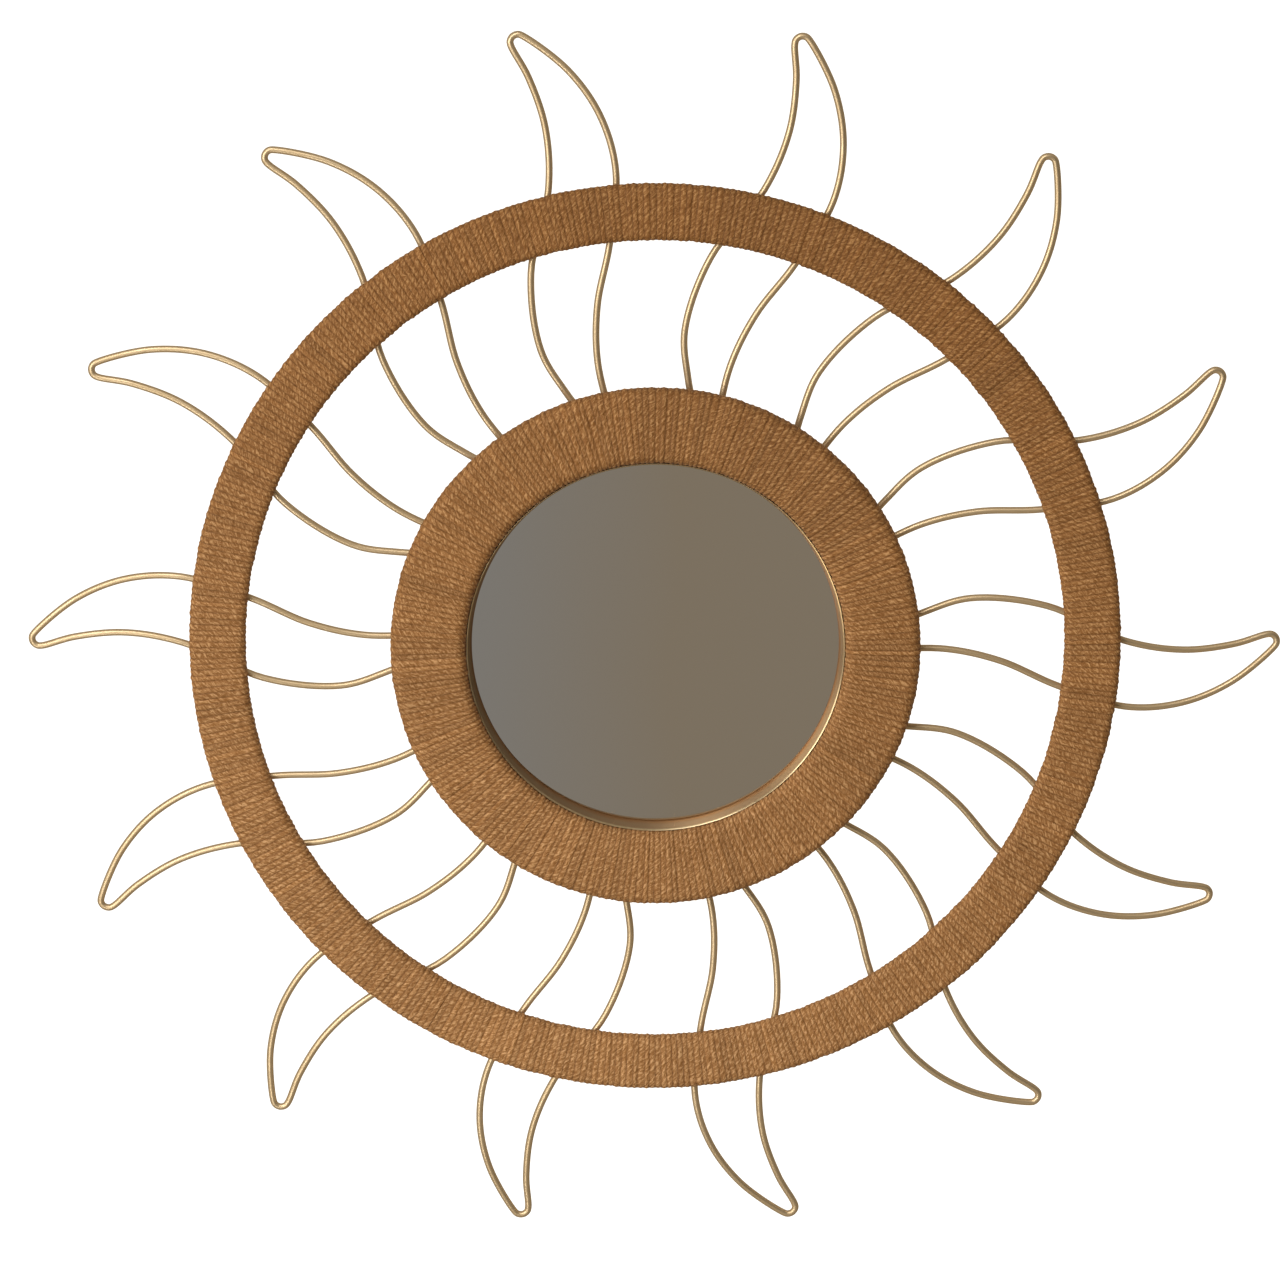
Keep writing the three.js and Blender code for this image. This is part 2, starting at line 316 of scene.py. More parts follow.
def round_bar(name, path, radius, sides):
    """A round bar: a circle of points carried along a path, square to it, with its ends closed."""
    tangent = np.gradient(path, axis=0)
    tangent /= np.linalg.norm(tangent, axis=1)[:, None]
    side = np.cross(tangent, [0, 1, 0])
    side /= np.linalg.norm(side, axis=1)[:, None]
    rear = np.cross(side, tangent)
    turn = 2 * np.pi * np.arange(sides) / sides
    ring = side[:, None] * np.cos(turn)[None, :, None] + rear[:, None] * np.sin(turn)[None, :, None]
    points = (path[:, None] + radius * ring).reshape(-1, 3)
    j = np.arange(sides)
    next_j = (j + 1) % sides
    last = (len(path) - 1) * sides
    start = np.stack([np.full(sides, len(points)), j, next_j], -1)
    end = np.stack([np.full(sides, len(points) + 1), last + next_j, last + j], -1)
    quads = grid_quads(len(path), sides, False, True)
    return new_piece(name, np.concatenate([points, path[[0, -1]]]), quads, np.concatenate([start, end]))


def gold_paint():
    """Metallic paint: satin, with faint darker rubbed places."""
    finish, tree, shader = new_finish("champagne_gold_paint", Metallic=0.75)
    rubbed = noise(tree, on_piece(tree), RUBBED_SCALE, 3)
    colour = colour_mix(tree, between(tree, rubbed, -0.45, 1.0), GOLD_PAINT, GOLD_PAINT_WORN)
    feed(tree, shader.inputs["Base Color"], colour)
    roughness = between(tree, rubbed, PAINT_ROUGHNESS - 0.07, PAINT_ROUGHNESS + 0.09)
    feed(tree, shader.inputs["Roughness"], roughness)
    return finish


wire_paint = gold_paint()
for number, lean in enumerate(RAY_LEANS):
    bends = ray_bends(FIRST_RAY_ANGLE + 360 * number / RAY_COUNT + lean)
    path = smooth_path(bends, WIRE_STEPS_PER_BEND)
    ray = round_bar(f"ray_wire_{number + 1:02d}", path, WIRE_RADIUS, WIRE_SIDES)
    ray.data.materials.append(wire_paint)
    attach(ray, "root")
    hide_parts(f"ray_{number + 1:02d}")

# The outer ring
# A flat hoop wound all round with three-ply jute twine, turn beside turn, in three lengths that follow each
# other. The wires cross behind it and lie a little way into the turns.
OUTER_RING = dict(inner=205.2 * MM, outer=234 * MM, middle=-13 * MM, thickness=9 * MM, edge=4.4 * MM)
OUTER_RING_TURNS = 480
OUTER_RING_ROWS = (6, 19, 32, 19, 6)
OUTER_RING_SAMPLES = 6
OUTER_RING_LENGTHS = 3
OUTER_RING_SEED = 11
OUTER_TWINE_RADIUS = 1.5 * MM
PLIES = 3
PLY_SPACING = 3.5 * MM
PLY_GROOVE = 0.07
VALLEY_FLOOR = 0.84
TWINE_DARK = (0.100, 0.037, 0.008, 1)
TWINE_MID = (0.278, 0.115, 0.028, 1)
TWINE_PALE = (0.47, 0.25, 0.094, 1)
# Painted light: how much paler the twine is painted, towards which side and how far, as a pool of light
PAINTED_LIGHT_GAIN = (1.5, 1.68, 2.15, 1)
PAINTED_LIGHT_DIRECTION = (-0.25, -0.97)
PAINTED_LIGHT_REACH = 230 * MM
PAINTED_LIGHT_SHARES = (0.52, 0.45)
# How unevenly the turns are wound: the spread of each value, and its limits
TURN_SHIFT = 0.12
TURN_LIFT = 0.07 * MM
THICKNESS_SPREAD, THICKNESS_LIMITS = 0.06, (0.87, 1.12)
TONE_SPREAD, TONE_LIMITS = 0.05, (0.85, 1.15)
LAY_SPREAD, LAY_LIMITS = 0.2, (0.65, 1.5)
LEAN_SIZE, LEAN_WAVES = 0.05, (4, 7, 11, 18, 29, 41)
# The marks on the twine: steps from turn to turn and along the plies, then how strongly each mark shows
SLIP_STEPS, SLIP = (7.1, 1.3), 0.9
# Painted shade between neighbouring turns, deeper in some places than in others
GAP_STEPS, GAP_DEPTHS, GAP_LEAST, GAP_POWER, GAP_PAINTED_SHADE = (5.3, 0.9), (-0.7, 2.1), 0.3, 5.0, 0.75
# A painted highlight on the crests of the plies and the middle of each turn; the fibres' own tone
STRAND_STEPS, STRAND_PAINTED_HIGHLIGHT, FIBRE_LIGHT = (0.62, 0.95, 3.7), (0.2, 0.66), 0.8
# Pale painted glints along the fibres, most of them on the crests
PAINTED_GLINT_RANGE, PAINTED_GLINT_ON_CREST = (-4.3, 5.2), (0.75, 0.1)
EDGE_OF_TURN = 0.98


def bar_section(distance, inner, outer, middle, thickness, edge):
    """Radius, depth and outward direction at a distance round a flat bar's section with rounded edges: from
    the middle of the back over the inner edge, across the front, over the outer edge and back. The
    corners' middles lie on a smaller rectangle, and the surface is one edge radius outside it."""
    half_flat = (outer - inner) / 2 - edge
    corner = np.pi / 2 * edge
    side = thickness - 2 * edge
    spans = [half_flat, corner, side, corner, 2 * half_flat, corner, side, corner, half_flat]
    knots = np.concatenate([[0], np.cumsum(spans)])
    low, high, centre = inner + edge, outer - edge, (inner + outer) / 2
    back, front = middle + side / 2, middle - side / 2
    radius = np.interp(distance, knots, [centre, low, low, low, low, high, high, high, high, centre])
    depth = np.interp(distance, knots, [back, back, back, front, front, front, front, back, back, back])
    facing = np.radians(np.interp(distance, knots, [90, 90, 180, 180, 270, 270, 360, 360, 450, 450]))
    return radius + edge * np.cos(facing), depth + edge * np.sin(facing), np.cos(facing), np.sin(facing)


def section_rows(rows, inner, outer, thickness, edge, **_):
    """Distances round the section for rows of points: a count each for half the back, the inner edge, the
    front, the outer edge and the other half of the back. The last distance is the whole way round."""
    half_flat = (outer - inner) / 2 - edge
    rounded = np.pi * edge + thickness - 2 * edge
    ends = np.cumsum([0, half_flat, rounded, 2 * half_flat, rounded, half_flat])
    spans = [np.linspace(a, b, n, endpoint=False) for a, b, n in zip(ends, ends[1:], rows)]
    return np.concatenate([*spans, ends[-1:]])


def winding_draw(turns, seed):
    """The hand of the winder, one value for each turn: shift and lift of the turn, its thickness, its tone,
    the place and spacing of its plies, and a lean that neighbours share."""
    draw = np.random.default_rng(seed)
    k = 2 * np.pi * np.arange(turns) / turns
    waves = [(n, draw.uniform(0, 2 * np.pi), draw.uniform(0.5, 1)) for n in LEAN_WAVES]
    lean = sum(size * np.sin(n * k + start) for n, start, size in waves)
    return dict(
        shift=draw.uniform(-TURN_SHIFT, TURN_SHIFT, turns), lift=draw.normal(0, TURN_LIFT, turns),
        thick=draw.normal(1, THICKNESS_SPREAD, turns).clip(*THICKNESS_LIMITS),
        tone=draw.normal(1, TONE_SPREAD, turns).clip(*TONE_LIMITS),
        ply=draw.uniform(0, 1, turns), lay=draw.normal(1, LAY_SPREAD, turns).clip(*LAY_LIMITS),
        lean=LEAN_SIZE * lean)


def wound_length(name, ring, turns, first, last, rows, samples, twine_radius, hand):
    """One length of twine wound on a ring, from the first to the last turn. Column c / samples is a place
    in turns, row i a distance round the section. A turn is a round twine seen from outside: its height is
    the root of radius squared less offset squared, cut by the grooves between plies, which run round the
    twine's own axis as the distance grows. Neighbouring turns meet in the valley between them."""
    distance = section_rows(rows, **ring)
    around = distance[-1]
    count = (last - first) * samples
    column = np.arange(count + 1)
    turn = first + column // samples
    part = (column % samples) / samples
    here, before = turn % turns, (turn - 1) % turns
    in_valley = part == 0

    def of_turn(values):
        return np.where(in_valley, (values[before] + values[here]) / 2, values[here])

    shift_from, shift_to = hand["shift"][here], hand["shift"][(turn + 1) % turns]
    radius, depth, out, back = (v[:-1, None] for v in bar_section(distance, **ring))
    front_share = np.sin(2 * np.pi * (distance[:-1, None] / around - 0.5))
    lean = hand["lean"][here] * (1 - part) + hand["lean"][(turn + 1) % turns] * part
    place = turn + part + shift_from * (1 - part) + shift_to * part + lean * front_share
    angle = 2 * np.pi * place / turns

    width = 2 * np.pi * radius / turns * (1 + shift_to - shift_from)
    twine = twine_radius * of_turn(hand["thick"])
    offset = np.clip((part - 0.5) * width / twine, -1, 1)
    ply_place = distance[:-1, None] / (PLY_SPACING * hand["lay"][here]) + hand["ply"][here]
    ply = np.abs(np.cos(PLIES / 2 * np.arcsin(offset) + np.pi * ply_place))
    ply = np.where(in_valley, 0.5, ply)
    height = twine * np.maximum(np.sqrt(1 - offset ** 2), VALLEY_FLOOR) * (1 - PLY_GROOVE * (1 - ply))
    height += of_turn(hand["lift"]) - twine_radius
    points = np.stack([(radius + out * height) * np.cos(angle), depth + back * height + 0 * angle,
                       (radius + out * height) * np.sin(angle)], -1)

    row_count = len(distance) - 1
    quads = grid_quads(row_count, count + 1, True, False)
    centre_radius, centre_depth = (ring["inner"] + ring["outer"]) / 2, ring["middle"]
    end_angle = angle[0, [0, -1]]
    ends = np.stack([centre_radius * np.cos(end_angle), np.full(2, centre_depth),
                     centre_radius * np.sin(end_angle)], -1)
    i = np.arange(row_count) * (count + 1)
    next_i = np.roll(i, -1)
    start_fan = np.stack([np.full(row_count, points.size // 3), next_i, i], -1)
    end_fan = np.stack([np.full(row_count, points.size // 3 + 1), i + count, next_i + count], -1)
    piece = new_piece(name, np.concatenate([points.reshape(-1, 3), ends]), quads,
                      np.concatenate([start_fan, end_fan]))

    quad_turn = (first + np.arange(count) // samples) % turns
    ply_count = distance[:, None] / (PLY_SPACING * hand["lay"][quad_turn]) + hand["ply"][quad_turn]
    across = np.broadcast_to(first + np.arange(count + 1) / samples, (row_count, count + 1))
    corners = [(across[:, :-1], ply_count[:-1]), (across[:, :-1], ply_count[1:]),
               (across[:, 1:], ply_count[1:]), (across[:, 1:], ply_count[:-1])]
    places = np.stack([np.stack(corner, -1) for corner in corners], 2).reshape(-1, 2)
    places = np.concatenate([places, np.zeros((6 * row_count, 2))])
    layer = piece.data.uv_layers.new(name="turns_and_plies")
    layer.data.foreach_set("uv", places.astype(np.float32).ravel())
    tone = np.append(np.broadcast_to(of_turn(hand["tone"]), points.shape[:2]).ravel(), [1, 1])
    piece.data.attributes.new("tone", "FLOAT", "POINT").data.foreach_set("value", tone.astype(np.float32))
    return piece


def on_twine(tree, whole, turn, plies, steps):
    """A place that differs from turn to turn, by the turn's whole number, and runs on along the twine."""
    turn_step, ply_step = steps
    place = tree.nodes.new("ShaderNodeCombineXYZ")
    feed(tree, place.inputs[0], maths(tree, "MULTIPLY", maths(tree, whole, turn), turn_step))
    feed(tree, place.inputs[1], maths(tree, "MULTIPLY", plies, ply_step))
    return place.outputs[0]


def jute_twine():
    """Three-ply jute: each ply shows as a slanting strand with fine fibres along it. A painted highlight
    lies on its crest and the middle of the turn, with pale painted glints, and painted shade lies in the
    grooves and, in places, between the turns. Turns and patches differ in tone, and the twine is painted
    paler towards the bottom and a little to the left: a painted pool of light."""
    finish, tree, shader = new_finish("jute_twine", Roughness=0.66, Specular_IOR_Level=0.22)
    uv = tree.nodes.new("ShaderNodeUVMap")
    uv.uv_map = "turns_and_plies"
    split = tree.nodes.new("ShaderNodeSeparateXYZ")
    feed(tree, split.inputs[0], uv.outputs["UV"])
    turn, plies = split.outputs[0], split.outputs[1]
    slip = between(tree, noise(tree, on_twine(tree, "FLOOR", turn, plies, SLIP_STEPS), 1.0, 2), -SLIP, SLIP)
    across = maths(tree, "MULTIPLY_ADD", maths(tree, "FRACT", turn), 2 * EDGE_OF_TURN, -EDGE_OF_TURN)
    round_twine = maths(tree, "MULTIPLY", maths(tree, "ARCSINE", across), PLIES / 2)
    round_ply = maths(tree, "MULTIPLY_ADD", maths(tree, "ADD", plies, slip), float(np.pi), round_twine)
    crest = maths(tree, "ABSOLUTE", maths(tree, "COSINE", round_ply))
    # Painted highlight on the crests of the plies and the middle of each turn, painted shade in the grooves
    middle = maths(tree, "SUBTRACT", 1.0, maths(tree, "MULTIPLY", across, across))
    painted_crest_highlight = maths(tree, "MULTIPLY", crest, middle)
    strand = tree.nodes.new("ShaderNodeCombineXYZ")
    strand_place = (round_ply, plies, maths(tree, "FLOOR", turn))
    for socket, value, step in zip(strand.inputs, strand_place, STRAND_STEPS):
        feed(tree, socket, maths(tree, "MULTIPLY", value, step))
    fibres = noise(tree, strand.outputs[0], 2.0, 4, 0.66)
    # Painted shade in the valleys between neighbouring turns
    gap_noise = noise(tree, on_twine(tree, "ROUND", turn, plies, GAP_STEPS), 1.0, 2)
    gap_depth = maths(tree, "MAXIMUM", between(tree, gap_noise, *GAP_DEPTHS), GAP_LEAST)
    near_gap = maths(tree, "POWER", maths(tree, "ABSOLUTE", across), GAP_POWER)
    painted_gap_shade = maths(tree, "MULTIPLY", near_gap, gap_depth)
    painted_light_and_fibres = maths(tree, "MULTIPLY_ADD", painted_crest_highlight, *STRAND_PAINTED_HIGHLIGHT)
    painted_light_and_fibres = maths(tree, "SUBTRACT", painted_light_and_fibres, maths(tree, "MULTIPLY", painted_gap_shade, GAP_PAINTED_SHADE))
    painted_light_and_fibres = maths(tree, "ADD", painted_light_and_fibres, between(tree, fibres, -FIBRE_LIGHT, FIBRE_LIGHT))
    body = colour_mix(tree, between(tree, painted_light_and_fibres, 0.0, 1.0), TWINE_DARK, TWINE_MID)
    # Painted glints: pale specks along the fibres, most of them on the crests
    on_crest = maths(tree, "MULTIPLY_ADD", painted_crest_highlight, *PAINTED_GLINT_ON_CREST)
    painted_glint = maths(tree, "MULTIPLY", between(tree, fibres, *PAINTED_GLINT_RANGE), on_crest)
    pale = colour_mix(tree, between(tree, painted_glint, 0.0, 1.0), body, TWINE_PALE)
    tone = tree.nodes.new("ShaderNodeAttribute")
    tone.attribute_name = "tone"
    patches = noise(tree, on_piece(tree), 16, 2)
    level = maths(tree, "MULTIPLY", tone.outputs["Fac"], between(tree, patches, 0.85, 1.15))
    grey = tree.nodes.new("ShaderNodeCombineColor")
    for socket in grey.inputs[:3]:
        feed(tree, socket, level)
    place = tree.nodes.new("ShaderNodeSeparateXYZ")
    feed(tree, place.inputs[0], on_piece(tree))
    # Painted light: the twine is painted paler towards the bottom and a little to the left, a painted pool
    # of light
    sideways = maths(tree, "MULTIPLY", place.outputs[0], PAINTED_LIGHT_DIRECTION[0] / PAINTED_LIGHT_REACH)
    upwards = PAINTED_LIGHT_DIRECTION[1] / PAINTED_LIGHT_REACH
    painted_light_way = maths(tree, "MULTIPLY_ADD", place.outputs[2], upwards, sideways)
    painted_light_share = maths(tree, "MULTIPLY_ADD", painted_light_way, *PAINTED_LIGHT_SHARES)
    painted_light_colour = colour_mix(tree, painted_light_share, pale, PAINTED_LIGHT_GAIN, "MULTIPLY")
    feed(tree, shader.inputs["Base Color"], colour_mix(tree, 1.0, painted_light_colour, grey.outputs[0], "MULTIPLY"))
    raise_by(tree, shader, maths(tree, "ADD", maths(tree, "MULTIPLY", crest, 0.8), fibres), 0.0004, 0.4)
    return finish


twine = jute_twine()


def wind_ring(name, node, ring, turns, lengths, rows, samples, twine_radius, seed):
    """Winds a ring in a number of lengths, each of which covers its share of the turns."""
    hand = winding_draw(turns, seed)
    for number in range(lengths):
        first, last = turns * number // lengths, turns * (number + 1) // lengths
        length_name = f"{name}_{number + 1}"
        piece = wound_length(length_name, ring, turns, first, last, rows, samples, twine_radius, hand)
        piece.data.materials.append(twine)
        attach(piece, "root")
        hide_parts(node)


wind_ring("outer_ring_twine", "outer_ring", OUTER_RING, OUTER_RING_TURNS, OUTER_RING_LENGTHS,
          OUTER_RING_ROWS, OUTER_RING_SAMPLES, OUTER_TWINE_RADIUS, OUTER_RING_SEED)

# The inner ring
# The mirror's frame: a thicker, wider ring wound with the same twine in three lengths, glued to the front
# of the board. The turns spread a little towards its outer edge and crowd at the glass.
INNER_RING = dict(inner=94.8 * MM, outer=132.9 * MM, middle=-21 * MM, thickness=13 * MM, edge=5.5 * MM)
INNER_RING_TURNS = 255
INNER_RING_ROWS = (6, 24, 42, 24, 6)
INNER_RING_SAMPLES = 8
INNER_RING_LENGTHS = 3
INNER_RING_SEED = 23
INNER_TWINE_RADIUS = 1.48 * MM
wind_ring("inner_ring_twine", "inner_ring", INNER_RING, INNER_RING_TURNS, INNER_RING_LENGTHS,
          INNER_RING_ROWS, INNER_RING_SAMPLES, INNER_TWINE_RADIUS, INNER_RING_SEED)

# The mirror glass
# A round of 3 mm silvered glass with ground edges. It is set in the pocket of the board, behind the opening
# of the frame.
GLASS_RADIUS = 94.4 * MM
GLASS_FRONT_Y = -11.8 * MM
GLASS_THICKNESS = 3 * MM
GLASS_ARRIS = 0.5 * MM
SILVER = (0.9, 0.9, 0.88, 1)


def silvered_glass():
    """A silvered mirror, with the faintest haze in places."""
    finish, tree, shader = new_finish("silvered_glass", Base_Color=SILVER, Metallic=1.0)
    haze = noise(tree, on_piece(tree), 24, 3)
    feed(tree, shader.inputs["Roughness"], between(tree, haze, 0.0, 0.03))
    return finish


glass = turned_disc(
    "mirror_glass_disc", [GLASS_RADIUS - GLASS_ARRIS, GLASS_RADIUS, GLASS_RADIUS],
    [GLASS_FRONT_Y, GLASS_FRONT_Y + GLASS_ARRIS, GLASS_FRONT_Y + GLASS_THICKNESS],
    ROUND_STEPS, smooth_quads=False)
glass.data.materials.append(silvered_glass())
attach(glass, "root")
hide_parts("mirror_glass")

# The mirror rim
# A thin strip of gold-coloured metal bent to a hoop. It stands on the glass and opens out like a funnel to
# the edge of the twine, where its lip is tucked in.
RIM_FOOT_RADIUS = 92.2 * MM
RIM_FRONT_RADIUS = 94.4 * MM
RIM_WALL = 0.3 * MM
RIM_FOOT_Y = -12.1 * MM
RIM_FRONT_Y = -22.6 * MM
# Pale gold: a painted highlight along the front edge of the strip
RIM_HIGHLIGHT_GOLD = (0.80, 0.64, 0.40, 1)
# Bronze and orange-brown: painted shade on the wall and at its foot, deep in the recess
RIM_SHADED_BRONZE = (0.30, 0.205, 0.12, 1)
RIM_SHADED_FOOT = (0.30, 0.145, 0.055, 1)
RIM_TINT = (0.42, 0.27, 0.13, 1)
RIM_LIP_SHARE = 0.9
RIM_LIP_FLARE = 0.5 * MM
RIM_SHADE_FALL = (-2.4, 1.2)
RIM_HIGHLIGHT_RISE = (14.0, -12.6)
rise = np.array([0, 0.15, 0.3, 0.45, 0.6, 0.75, RIM_LIP_SHARE, 0.95, 1])
wall_radius = np.interp(rise, [0, RIM_LIP_SHARE, 1],
                        [RIM_FOOT_RADIUS, RIM_FRONT_RADIUS - RIM_LIP_FLARE, RIM_FRONT_RADIUS])
wall_depth = RIM_FOOT_Y + (RIM_FRONT_Y - RIM_FOOT_Y) * rise
lip_turn = np.radians(np.linspace(180, 0, 9))[1:-1]
rim_radii = np.concatenate([wall_radius, RIM_FRONT_RADIUS + RIM_WALL / 2 * (1 + np.cos(lip_turn)),
                            wall_radius[::-1] + RIM_WALL])
rim_depths = np.concatenate([wall_depth, RIM_FRONT_Y - RIM_WALL / 2 * np.sin(lip_turn), wall_depth[::-1]])


def rim_strip():
    """Gold-coloured metal with a pale gold painted highlight along the front edge only. Below it the wall
    is painted darker bronze, and orange-brown at its foot by the glass: painted shade deep in the recess."""
    finish, tree, shader = new_finish("gold_strip", Specular_IOR_Level=0.1, Specular_Tint=RIM_TINT)
    split = tree.nodes.new("ShaderNodeSeparateXYZ")
    feed(tree, split.inputs[0], on_piece(tree))
    rubbed = noise(tree, on_piece(tree), RUBBED_SCALE, 3)
    # Painted shade: darker towards the foot of the wall, by the glass, deep in the recess
    above_foot = maths(tree, "SUBTRACT", split.outputs[1], RIM_FOOT_Y)
    from_foot = maths(tree, "DIVIDE", above_foot, RIM_FRONT_Y - RIM_FOOT_Y)
    painted_shade_share = maths(tree, "MULTIPLY_ADD", from_foot, *RIM_SHADE_FALL)
    painted_shade_share = maths(tree, "ADD", painted_shade_share, between(tree, rubbed, -0.3, 0.3))
    wall = colour_mix(tree, between(tree, painted_shade_share, 0.0, 0.9), RIM_SHADED_BRONZE, RIM_SHADED_FOOT)
    # Painted highlight: pale gold along the front edge
    painted_highlight = between(tree, maths(tree, "MULTIPLY_ADD", from_foot, *RIM_HIGHLIGHT_RISE), 0.0, 1.0)
    feed(tree, shader.inputs["Base Color"], colour_mix(tree, painted_highlight, wall, RIM_HIGHLIGHT_GOLD))
    feed(tree, shader.inputs["Metallic"], between(tree, painted_highlight, 0.55, 0.95))
    feed(tree, shader.inputs["Roughness"], between(tree, painted_highlight, 0.5, 0.3))
    return finish


rim = new_piece("mirror_rim_strip", turned_points(rim_radii, rim_depths, ROUND_STEPS),
                grid_quads(len(rim_radii), ROUND_STEPS, True, True))
rim.data.materials.append(rim_strip())
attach(rim, "root")
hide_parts("mirror_rim")

# The loose fibres
# Short jute fibres that have worked out of the twine and stand off both rings, finer towards their ends.
# Each is still held by the turn that it grows out of.
OUTER_RING_FIBRES = dict(count=480, seed=31)
INNER_RING_FIBRES = dict(count=330, seed=37)
FIBRE_RADIUS = 0.075 * MM
FIBRE_ROOT_DEPTH = 0.5 * MM
FIBRE_LENGTHS = (0.9 * MM, 4 * MM)
FIBRE_STATIONS = 5
FIBRE_SIDES = 3
FIBRE_COLOUR = (0.60, 0.38, 0.19, 1)
FIBRE_COLOUR_DARK = (0.40, 0.225, 0.095, 1)


def loose_fibres(name, ring, count, seed):
    """Fibres as thin tapering three-sided strands. Each starts on the wound surface, leaves it outwards and
    to a side, and bends on the way: start + direction * length * t + bend * length * t squared."""
    draw = np.random.default_rng(seed)
    around = section_rows((1, 1, 1, 1, 1), **ring)[-1]
    distance = around * (0.5 + 0.32 * draw.uniform(-1, 1, count))
    angle = draw.uniform(0, 2 * np.pi, count)
    radius, depth, out, back = bar_section(distance, **ring)
    outward = np.stack([np.cos(angle), 0 * angle, np.sin(angle)], -1)
    onward = np.stack([-np.sin(angle), 0 * angle, np.cos(angle)], -1)
    rearward = np.array([[0.0, 1.0, 0.0]])
    normal = out[:, None] * outward + back[:, None] * rearward
    along = -back[:, None] * outward + out[:, None] * rearward
    start = radius[:, None] * outward + depth[:, None] * rearward - FIBRE_ROOT_DEPTH * normal
    lean = draw.normal(0, 1, (2, count, 1))
    direction = normal * draw.uniform(0.25, 1, (count, 1)) + 0.8 * lean[0] * along + 0.6 * lean[1] * onward
    direction /= np.linalg.norm(direction, axis=1)[:, None]
    sway = draw.normal(0, 0.22, (count, 3))
    length = draw.gamma(3, 0.7 * MM, (count, 1)).clip(*FIBRE_LENGTHS)
    t = np.linspace(0, 1, FIBRE_STATIONS)[:, None]
    path = start[:, None] + (direction * length)[:, None] * t + (sway * length)[:, None] * t ** 2
    side = np.cross(direction, onward + 0.3 * along)
    side /= np.linalg.norm(side, axis=1)[:, None]
    other = np.cross(direction, side)
    turn = 2 * np.pi * np.arange(FIBRE_SIDES) / FIBRE_SIDES
    ring_points = (side[:, None] * np.cos(turn)[:, None] - other[:, None] * np.sin(turn)[:, None])[:, None]
    taper = FIBRE_RADIUS * (1.05 - 0.85 * t)[None, :, :, None]
    points = path[:, :, None] + taper * ring_points
    one = grid_quads(FIBRE_STATIONS, FIBRE_SIDES, False, True)
    per_fibre = FIBRE_STATIONS * FIBRE_SIDES
    first = per_fibre * np.arange(count)[:, None, None]
    last = per_fibre - FIBRE_SIDES
    ends = np.array([[0, 1, 2], [last + 2, last + 1, last]])
    return new_piece(name, points, one[None] + first, ends[None] + first)


def fibre_finish():
    """Bare jute fibre, paler and darker in places."""
    finish, tree, shader = new_finish("bare_jute_fibre", Roughness=0.85)
    share = noise(tree, on_piece(tree), 130, 1)
    feed(tree, shader.inputs["Base Color"], colour_mix(tree, share, FIBRE_COLOUR_DARK, FIBRE_COLOUR))
    return finish


bare_fibre = fibre_finish()
for name, ring, drawn in (("outer_ring_fibres", OUTER_RING, OUTER_RING_FIBRES),
                          ("inner_ring_fibres", INNER_RING, INNER_RING_FIBRES)):
    fibres = loose_fibres(name, ring, **drawn)
    fibres.data.materials.append(bare_fibre)
    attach(fibres, "root")

# The studio
# A white floor well below the hanging mirror, soft lamps in front at the left, low down and high up, a
# pale wall behind that only lends soft light, and a dim warm room. Two cards show only in reflections: a
# brown-grey screen in front and a black flag on the right.
FLOOR_Z = -1.5
FLOOR_HALF = 26.0
ROOM_WARM = (1.0, 0.86, 0.66, 1)
ROOM_STRENGTH = 0.29
SCREEN_Y = -2.0
SCREEN_HALF = 0.38
SCREEN_BOTTOM, SCREEN_TOP = -1.0, -0.12
SCREEN_LEFTWARD = (-3.2, 0.18)
FLAG_Y = -1.9
FLAG_LEFT, FLAG_RIGHT = 0.4, 6.0
FLAG_BOTTOM, FLAG_TOP = -0.6, 1.6
FLAG_BLACK = (0.02, 0.015, 0.01, 1)
GLOW_Y = 0.35
GLOW_HALF = 1.4
GLOW_WHITE = (1.0, 0.97, 0.93, 1)
GLOW_STRENGTH = 0.7
KEY_LAMP = dict(place=(-2.1, -2.5, 0.6), size=1.7, power=50, colour=(1.0, 0.98, 0.95))
LOW_LAMP = dict(place=(-0.9, -1.5, -0.85), size=0.6, power=6, colour=(1.0, 0.99, 0.97))
FILL_LAMP = dict(place=(-0.9, -2.6, 2.4), size=1.3, power=40, colour=(1.0, 0.98, 0.96))
SCREEN_BROWN = (0.221, 0.180, 0.132, 1)
SCREEN_BLUE = (0.2134, 0.208, 0.200, 1)


def flat_stage(name, corners, finish):
    """A flat sheet of the studio, given by its four corners."""
    sheet = new_piece(name, corners, [[0, 1, 2, 3]])
    sheet.data.materials.append(finish)
    return sheet


def soft_lamp(name, place, size, power, colour):
    """A square soft lamp that faces the mirror."""
    data = bpy.data.lights.new(name, "AREA")
    data.size = size
    data.energy = power
    data.color = colour
    lamp = bpy.data.objects.new(name, data)
    lamp.location = place
    lamp.rotation_euler = (-Vector(place)).to_track_quat("-Z", "Y").to_euler()
    bpy.context.scene.collection.objects.link(lamp)


floor_finish, _, _ = new_finish(
    "pale_floor", Base_Color=(0.9, 0.9, 0.9, 1), Roughness=0.9, Emission_Color=(1, 1, 1, 1),
    Emission_Strength=1.0)
floor = flat_stage("floor", [
    (-FLOOR_HALF, -FLOOR_HALF, FLOOR_Z), (FLOOR_HALF, -FLOOR_HALF, FLOOR_Z),
    (FLOOR_HALF, FLOOR_HALF, FLOOR_Z), (-FLOOR_HALF, FLOOR_HALF, FLOOR_Z)], floor_finish)
floor.visible_diffuse = False
floor.visible_glossy = False

